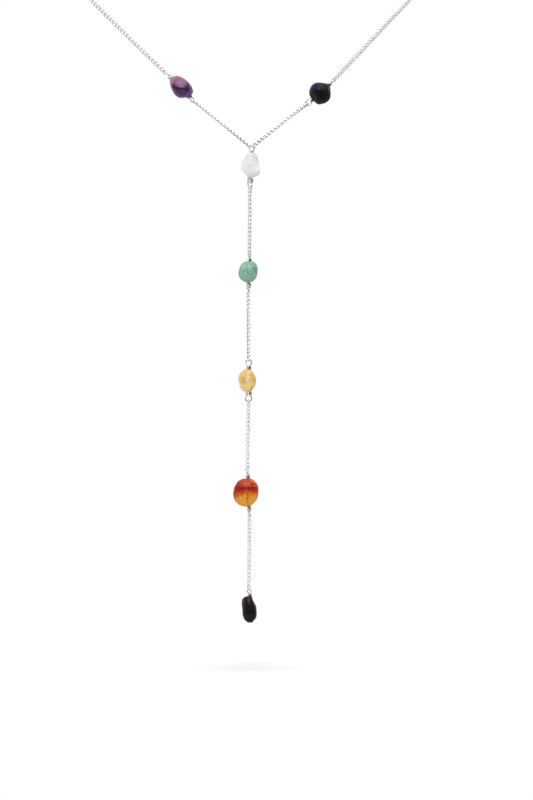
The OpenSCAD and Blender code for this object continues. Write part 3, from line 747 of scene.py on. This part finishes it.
def sodalite(form):
    m = Shader("sodalite")
    at = m.place()
    near = m.shifted(at, 0.7, 0.6)
    clouds = m.spread(m.noise(near, 0.75, 5.0, 0.62), 0.38, 0.7)
    colour = m.mix(clouds, srgb(9, 9, 16), srgb(22, 22, 36))
    side = m.spread(m.along(near, (-0.95, 0.1, -0.15)), 0.9, 2.6)
    colour = m.tint(side, 0.7, colour, srgb(30, 36, 84))
    # painted reflection: a soft grey sheen of a light on the upper front
    painted_reflection = m.spot(near, (-0.8, -2.3, 0.8), (0.8, 1.6, 0.8), 0.9)
    colour = m.tint(painted_reflection, 0.7, colour, srgb(54, 52, 62))
    vein = m.math("ABSOLUTE", m.math("SUBTRACT", m.noise(near, 0.5, 5.0, 0.6), 0.5))
    colour = m.tint(m.spread(vein, 0.012, 0.0), 0.3, colour, srgb(60, 60, 80))
    low = m.spot(near, (0.2, -1.2, -2.7), (1.5, 1.5, 0.6), 0.5)
    specks = m.math("MULTIPLY", low, m.spread(m.noise(at, 2.6, 3.0, 0.6), 0.5, 0.6))
    colour = m.tint(specks, 0.55, colour, srgb(104, 80, 48))
    colour = mouths(m, at, colour, form, srgb(70, 44, 20))
    return m.finish(Base_Color=colour, IOR=1.5, **polish(m, at, 0.14, 0.3, 0.14))


def quartz(form):
    m = Shader("quartz")
    at = m.place()
    near = m.shifted(at, 0.6, 0.5)
    # painted shade: a little darker towards the right
    colour = m.mix(m.spread(m.along(near, (1, 0.2, 0)), -2.2, 2.2), srgb(224, 221, 223), srgb(219, 216, 219))
    # painted light: lighter towards the bottom, in two steps
    colour = m.mix(m.spread(m.along(near, (0.3, 0, -1)), -2.0, 0.0), colour, srgb(236, 233, 236))
    colour = m.mix(m.spread(m.along(near, (0.4, 0, -1)), 0.0, 1.5), colour, srgb(255, 253, 255))
    veil = m.spread(m.noise(near, 0.8, 5.0, 0.6), 0.45, 0.75)
    colour = m.tint(veil, 0.25, colour, srgb(243, 242, 243))
    rim = m.spread(m.along(near, (1, 0.2, -0.2)), 1.9, 2.8)
    colour = m.tint(rim, 0.5, colour, srgb(232, 214, 222))
    colour = mouths(m, at, colour, form, srgb(196, 176, 160), 0.6)
    return m.finish(Base_Color=colour, Subsurface_Weight=0.08, Subsurface_Radius=(1.8, 1.7, 1.9),
                    Subsurface_Scale=0.001, IOR=1.54, **polish(m, at, 0.25, 0.45, 0.16, 0.15))


def aventurine(form):
    m = Shader("aventurine")
    at = m.place()
    near = m.shifted(at, 0.9, 0.35)
    mottle = m.spread(m.noise(near, 1.0, 5.0, 0.6), 0.35, 0.68)
    colour = m.mix(mottle, srgb(114, 168, 144), srgb(156, 194, 178))
    # darker green mottles, gathered on the right side as painted shade
    side = m.spread(m.along(near, (0.95, -0.1, -0.2)), 0.1, 1.9)
    deep = m.math("MULTIPLY", side, m.spread(m.noise(near, 0.8, 4.0, 0.6), 0.35, 0.62))
    colour = m.tint(deep, 0.8, colour, srgb(78, 138, 108))
    dust = m.spread(m.noise(m.vector("ADD", near, (9.0, 4.0, 2.0)), 1.8, 4.0, 0.6), 0.58, 0.7)
    low = m.spread(m.along(near, (0.3, 0, -1)), -0.6, 2.0)
    dusty = m.math("ADD", m.math("MULTIPLY", low, 0.5), 0.25)
    colour = m.tint(dust, dusty, colour, srgb(190, 184, 174))
    fleck = m.spread(m.noise(at, 7.0, 2.0), 0.68, 0.74)
    colour = m.tint(fleck, 0.35, colour, srgb(196, 224, 210))
    colour = m.tint(low, 0.35, colour, srgb(168, 204, 186))
    rim = m.spread(m.reach(near, (0.36, 0.0, 0.34)), 0.84, 1.02)
    colour = m.tint(rim, 0.4, colour, srgb(100, 154, 128))
    colour = mouths(m, at, colour, form, srgb(96, 88, 70))
    return m.finish(Base_Color=colour, Subsurface_Weight=0.06, Subsurface_Radius=(0.6, 0.8, 0.7),
                    Subsurface_Scale=0.001, IOR=1.54, **polish(m, at, 0.24, 0.42))


def citrine(form):
    m = Shader("citrine")
    at = m.place()
    near = m.shifted(at, 0.7, 0.4)
    clouds = m.noise(near, 0.75, 5.0, 0.6)
    colour = m.ramp(clouds, [
        (0.34, srgb(246, 230, 178)), (0.45, srgb(244, 218, 148)), (0.56, srgb(240, 204, 116)),
        (0.68, srgb(232, 182, 84)),
    ])
    veil = m.spot(near, (-0.3, -1.9, 0.7), (0.55, 1.4, 2.0), 0.6)
    colour = m.tint(veil, 0.6, colour, srgb(244, 232, 200))
    for centre, size, amount in (
        ((-1.6, -1.6, 0.1), (0.8, 2.0, 1.0), 0.75), ((1.0, -1.6, 1.8), (0.6, 1.6, 0.6), 0.6),
        ((1.6, -1.2, 0.2), (0.4, 1.6, 1.2), 0.25),
    ):
        warm = m.spot(near, centre, size, 0.6)
        colour = m.tint(warm, amount, colour, srgb(224, 162, 66))
    shade = m.spread(m.along(near, (0, 0, 1)), -1.6, 3.2)
    colour = m.tint(shade, 0.7, colour, srgb(226, 216, 200), "MULTIPLY")
    low = m.spread(m.along(near, (0, 0, -1)), 0.0, 2.2)
    colour = m.tint(low, 0.4, colour, srgb(250, 228, 168))
    # painted highlight: a bright yellow glint low on the front
    painted_glint = m.spot(near, (0.2, -1.5, -1.6), (0.42, 1.6, 1.0), 0.5)
    colour = m.tint(painted_glint, 0.85, colour, srgb(255, 240, 122))
    rim = m.spread(m.reach(m.vector("ADD", near, (0.35, 0.0, 0.0)), (0.41, 0.0, 0.3)), 0.78, 1.02)
    colour = m.tint(rim, 0.45, colour, srgb(232, 188, 116))
    crack = m.spot(near, (0.75, -1.2, -2.2), (0.16, 1.6, 1.1), 0.5)
    colour = m.tint(crack, 0.6, colour, srgb(176, 116, 50))
    colour = mouths(m, at, colour, form, srgb(150, 104, 62))
    return m.finish(Base_Color=colour, Subsurface_Weight=0.12, Subsurface_Radius=(1.8, 1.2, 0.5),
                    Subsurface_Scale=0.001, IOR=1.54, **polish(m, at, 0.12, 0.28))


def carnelian(form):
    m = Shader("carnelian")
    at = m.place()
    near = m.shifted(at, 0.55, 0.5)
    height = m.along(near, (0.05, 0, 1))
    drips = m.noise(m.vector("MULTIPLY", m.shifted(at, 0.9, 0.3), (1.3, 1.3, 0.12)), 1.1, 4.0, 0.65)
    drop = m.math("MULTIPLY", m.math("SUBTRACT", drips, 0.5), 3.2)
    drop = m.math("MULTIPLY", drop, m.spread(height, 1.6, 0.7))
    across = m.along(near, (1, 0, 0))
    band = m.math("MULTIPLY_ADD", across, m.math("MULTIPLY", across, 0.1), height)
    colour = m.ramp(m.spread_linear(m.math("ADD", band, drop), -4.2, 4.2), [
        (0.00, srgb(212, 122, 30)), (0.12, srgb(226, 164, 58)), (0.38, srgb(228, 164, 58)),
        (0.48, srgb(216, 124, 34)), (0.55, srgb(194, 70, 14)), (0.63, srgb(152, 18, 4)),
        (0.70, srgb(158, 24, 8)), (0.78, srgb(180, 50, 24)), (1.00, srgb(182, 62, 24)),
    ])
    cloud = m.noise(m.vector("MULTIPLY", near, (1.0, 1.0, 0.6)), 1.7, 5.0, 0.65)
    below = m.spread(height, 0.9, -0.4)
    for low, high, tone in ((0.5, 0.36, srgb(208, 124, 40)), (0.52, 0.66, srgb(240, 188, 92))):
        patch = m.math("MULTIPLY", m.spread(cloud, low, high), below)
        colour = m.tint(patch, 0.5, colour, tone)
    line = m.math("ABSOLUTE", m.math("SUBTRACT", m.along(m.shifted(at, 1.2, 0.12), (-0.03, 0, 1)), 1.5))
    colour = m.tint(m.spread(line, 0.3, 0.05), 0.75, colour, srgb(116, 4, 4))
    streak = m.noise(m.vector("MULTIPLY", near, (1.5, 1.5, 0.3)), 1.3, 4.0, 0.6)
    down = m.math("MULTIPLY", m.spread(streak, 0.52, 0.62), m.spread(height, -2.4, 0.6))
    colour = m.tint(down, 0.65, colour, srgb(176, 44, 10))
    seam = m.spot(near, (-0.45, -2.6, -0.9), (0.38, 1.5, 2.2), 0.6)
    colour = m.tint(seam, 0.65, colour, srgb(190, 80, 26))
    # painted reflection: a soft pinkish sheen of a light at the upper left
    pink = m.spot(near, (-1.3, -1.8, 2.6), (1.2, 1.6, 0.9), 0.5)
    colour = m.tint(pink, 0.6, colour, srgb(180, 72, 46))
    side = m.spot(near, (-3.0, -0.5, 1.9), (0.9, 2.6, 1.3), 0.5)
    colour = m.tint(side, 0.7, colour, srgb(142, 16, 10))
    deep = m.spot(near, (1.1, -1.8, 2.5), (0.9, 1.4, 0.4), 0.6)
    colour = m.tint(deep, 0.8, colour, srgb(158, 24, 0))
    # the first spot is a painted highlight at the upper right; the second is a thin orange streak of the
    # stone's own
    for centre, size in (((1.3, -1.5, 3.05), (1.0, 1.4, 0.5)), ((1.9, -1.8, 1.8), (0.9, 1.4, 0.17))):
        light = m.spot(near, centre, size, 0.6)
        colour = m.tint(light, 0.75, colour, srgb(216, 108, 16))
    rim = m.spread(m.reach(m.vector("ADD", at, (0.75, 0.0, 0.0)), (0.285, 0.0, 0.25)), 0.86, 1.02)
    rim = m.math("MULTIPLY", rim, m.spread(height, 1.4, 0.2))
    colour = m.tint(rim, 0.7, colour, srgb(196, 78, 16))
    colour = mouths(m, at, colour, form, srgb(120, 44, 16))
    return m.finish(Base_Color=colour, Subsurface_Weight=0.06, Subsurface_Radius=(1.8, 0.8, 0.3),
                    Subsurface_Scale=0.001, IOR=1.54, **polish(m, at, 0.14, 0.3, 0.16))


def onyx(form):
    m = Shader("onyx")
    at = m.place()
    near = m.shifted(at, 0.9, 0.4)
    colour = m.mix(m.spread(m.noise(near, 0.9, 5.0, 0.6), 0.4, 0.7), srgb(14, 14, 12), srgb(24, 23, 21))
    edge = m.spread(m.along(near, (-0.9, 0.2, 0.2)), 1.1, 2.1)
    colour = m.tint(edge, 0.65, colour, srgb(78, 68, 60))
    # painted reflection: a soft grey sheen of a light at the upper middle
    painted_reflection = m.spot(near, (-0.2, -1.5, 2.2), (0.35, 1.2, 0.8), 0.6)
    colour = m.tint(painted_reflection, 0.5, colour, srgb(58, 57, 55))
    speck = m.math("MULTIPLY", m.spread(m.noise(at, 6.0, 3.0, 0.6), 0.6, 0.7),
                   m.spread(m.along(near, (0, 0, -1)), 0.4, 2.4))
    colour = m.tint(speck, 0.4, colour, srgb(54, 50, 46))
    brown = m.spot(m.shifted(at, 2.0, 0.2), (0.0, -0.7, 3.5), (0.9, 0.9, 0.4), 0.5)
    colour = m.tint(brown, 0.85, colour, srgb(64, 32, 14))
    return m.finish(Base_Color=colour, IOR=1.5, **polish(m, at, 0.18, 0.36, 0.12))


# Pieces.
def keep(obj, slot, *nodes):
    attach(obj, "root")
    if nodes:
        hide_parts(*nodes)


# one plated silver in two copies: the lighter copy is painted light, for the chain sections that look
# brighter
CHAIN_SILVER = silver("silver_chain", srgb(236, 236, 237), srgb(252, 252, 252))
LIT_SILVER = silver("silver_chain_lit", srgb(246, 246, 246), srgb(255, 255, 255))
# darker copies for the link sides that face the link's own middle: painted shade there, with some tarnish
RECESS = {
    CHAIN_SILVER: silver("silver_recess", srgb(164, 163, 162), srgb(202, 201, 200)),
    LIT_SILVER: silver("silver_recess_lit", srgb(176, 175, 174), srgb(212, 211, 210)),
}
# a still darker recess copy for the right V: more painted shade
SHADED_RECESS = silver("silver_recess_shaded", srgb(116, 115, 114), srgb(160, 159, 158))
WIRE_SILVER = silver("silver_wire", srgb(196, 195, 193), srgb(234, 234, 233))
PAINT = {"amethyst": amethyst, "sodalite": sodalite, "quartz": quartz, "aventurine": aventurine,
         "citrine": citrine, "carnelian": carnelian, "onyx": onyx}

for seed, (stone_name, stone) in enumerate(STONES.items(), start=1):
    verts, faces = stone_mesh(stone, seed)
    paint = PAINT[stone_name](stone["form"])
    body = make_object("tumbled_" + stone_name, verts, faces, paint, stone_matrix(stone))
    keep(body, stone_name, "stone_" + stone_name)
    metal = wire_silver("silver_wire_" + stone_name, stone)
    keep(stone_wire("wrapped_wire_" + stone_name, stone, metal), "wire", "wire_" + stone_name)

SECTIONS = [
    ("v_left", "quartz", "amethyst", -84, LIT_SILVER, RECESS[CHAIN_SILVER]),
    ("v_right", "quartz", "sodalite", -90, LIT_SILVER, SHADED_RECESS),
    ("drop_1", "aventurine", "quartz", 30, LIT_SILVER, RECESS[CHAIN_SILVER]),
    ("drop_2", "citrine", "aventurine", -45, LIT_SILVER, RECESS[CHAIN_SILVER]),
    ("drop_3", "carnelian", "citrine", 0, LIT_SILVER, RECESS[LIT_SILVER]),
    ("drop_4", "onyx", "carnelian", 8, CHAIN_SILVER, RECESS[LIT_SILVER]),
]
for section, below, above, mid_roll, plate, recess in SECTIONS:
    chain = chain_between("curb_chain_" + section, STONES[below], STONES[above], mid_roll, plate, recess)
    keep(chain, "chain", "chain_" + section)

for side, stone_name, route, mid_roll, plate in (
    ("left", "amethyst", NECK_LEFT, 0, LIT_SILVER), ("right", "sodalite", NECK_RIGHT, 22, CHAIN_SILVER),
):
    chain = neck_chain("curb_chain_neck_" + side, STONES[stone_name], route, mid_roll, plate, RECESS[plate])
    keep(chain, "chain", "chain_neck_" + side, "links_neck_" + side)

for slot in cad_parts["clasp"].material_slots:
    slot.material = WIRE_SILVER


# Studio.
def studio_world():
    world = bpy.data.worlds.new("studio")
    bpy.context.scene.world = world
    world.use_nodes = True
    tree = world.node_tree
    back = tree.nodes["Background"]

    def add(kind, **inputs):
        made = tree.nodes.new(kind)
        for key, value in inputs.items():
            socket = made.inputs[key.replace("_", " ")]
            if isinstance(value, bpy.types.NodeSocket):
                tree.links.new(value, socket)
            else:
                socket.default_value = value
        return made

    way = add("ShaderNodeSeparateXYZ", Vector=add("ShaderNodeTexCoord").outputs["Generated"])
    light = None
    for axis, start, stop, low, high in (
        ("Z", -1.0, 1.0, 0.6, 1.1), ("Y", -1.0, -0.3, 0.32, 1.0), ("X", -1.0, 1.0, 1.08, 0.92),
    ):
        part = add("ShaderNodeMapRange", Value=way.outputs[axis], From_Min=start, From_Max=stop,
                   To_Min=low, To_Max=high).outputs[0]
        both = tree.nodes.new("ShaderNodeMath")
        both.operation = "MULTIPLY"
        both.inputs[0].default_value = 1.0
        if light:
            tree.links.new(light, both.inputs[0])
        tree.links.new(part, both.inputs[1])
        light = both.outputs[0]
    seen = add("ShaderNodeLightPath").outputs["Is Camera Ray"]
    strength = tree.nodes.new("ShaderNodeMix")
    tree.links.new(seen, strength.inputs["Factor"])
    tree.links.new(light, strength.inputs["A"])
    strength.inputs["B"].default_value = 1.0
    back.inputs["Color"].default_value = (1, 1, 1, 1)
    tree.links.new(strength.outputs[0], back.inputs["Strength"])


def soft_box(name, place, aim, width, power):
    data = bpy.data.lights.new(name, "AREA")
    data.shape, data.size, data.energy = "DISK", width, power
    obj = bpy.data.objects.new(name, data)
    bpy.context.scene.collection.objects.link(obj)
    obj.location = place
    obj.rotation_euler = (Vector(aim) - Vector(place)).to_track_quat("-Z", "Y").to_euler()


def pale_floor():
    """A white floor below the drop that fades into the background, with a painted soft shadow under the drop.
    """
    a = 2 * math.pi * np.arange(FLOOR_SIDES) / FLOOR_SIDES
    verts = np.column_stack([
        FLOOR_R * np.cos(a), FRONT[1] + FLOOR_R * np.sin(a), np.full(FLOOR_SIDES, FLOOR_Z)
    ])
    m = Shader("pale_floor")
    apart = m.vector("SUBTRACT", m.place(), (-0.7, FRONT[1], FLOOR_Z))
    away = m.vector("LENGTH", apart)
    # painted shadow: a soft grey patch under the drop
    shade = m.spread_linear(m.reach(apart, (0.78, 0.86, 1.0)), 26.0, 0.0)
    m.finish(Base_Color=m.mix(shade, srgb(240, 240, 240), srgb(222, 222, 222)), Roughness=0.7,
             Specular_IOR_Level=0.0, Alpha=m.spread(away, 130.0, 40.0))
    make_object("floor", verts, [list(range(FLOOR_SIDES))], m.material)


studio_world()
pale_floor()
# each light's place and aim in metres, its width in metres and its power in watts
for name, place, aim, width, power in (
    ("top_light", (0.03, -0.16, 0.32), (0, -0.112, -0.2), 0.34, 0.35),
    ("key_light", (-0.06, -0.7, 0.36), (0, -0.112, -0.18), 0.42, 2.6),
):
    soft_box(name, place, aim, width, power)

# Camera.
PIXELS_PER_MM = 3.54
VIEW_HEIGHT = 800 / PIXELS_PER_MM
VIEW_CENTRE = Vector((3.95, FRONT[1], -190.05))
ELEVATION = radians(2.5)
DISTANCE = 1600.0
SENSOR = 36.0
data = bpy.data.cameras.new("camera")
data.sensor_fit, data.sensor_height = "VERTICAL", SENSOR
data.lens = SENSOR * DISTANCE / VIEW_HEIGHT
data.clip_start, data.clip_end = 0.01, 20.0
camera = bpy.data.objects.new("camera", data)
bpy.context.scene.collection.objects.link(camera)
camera.location = (VIEW_CENTRE + Vector((0, -math.cos(ELEVATION), math.sin(ELEVATION))) * DISTANCE) * MM
camera.rotation_euler = (math.pi / 2 - ELEVATION, 0, 0)
bpy.context.scene.camera = camera
bpy.context.scene.view_settings.view_transform = "Standard"
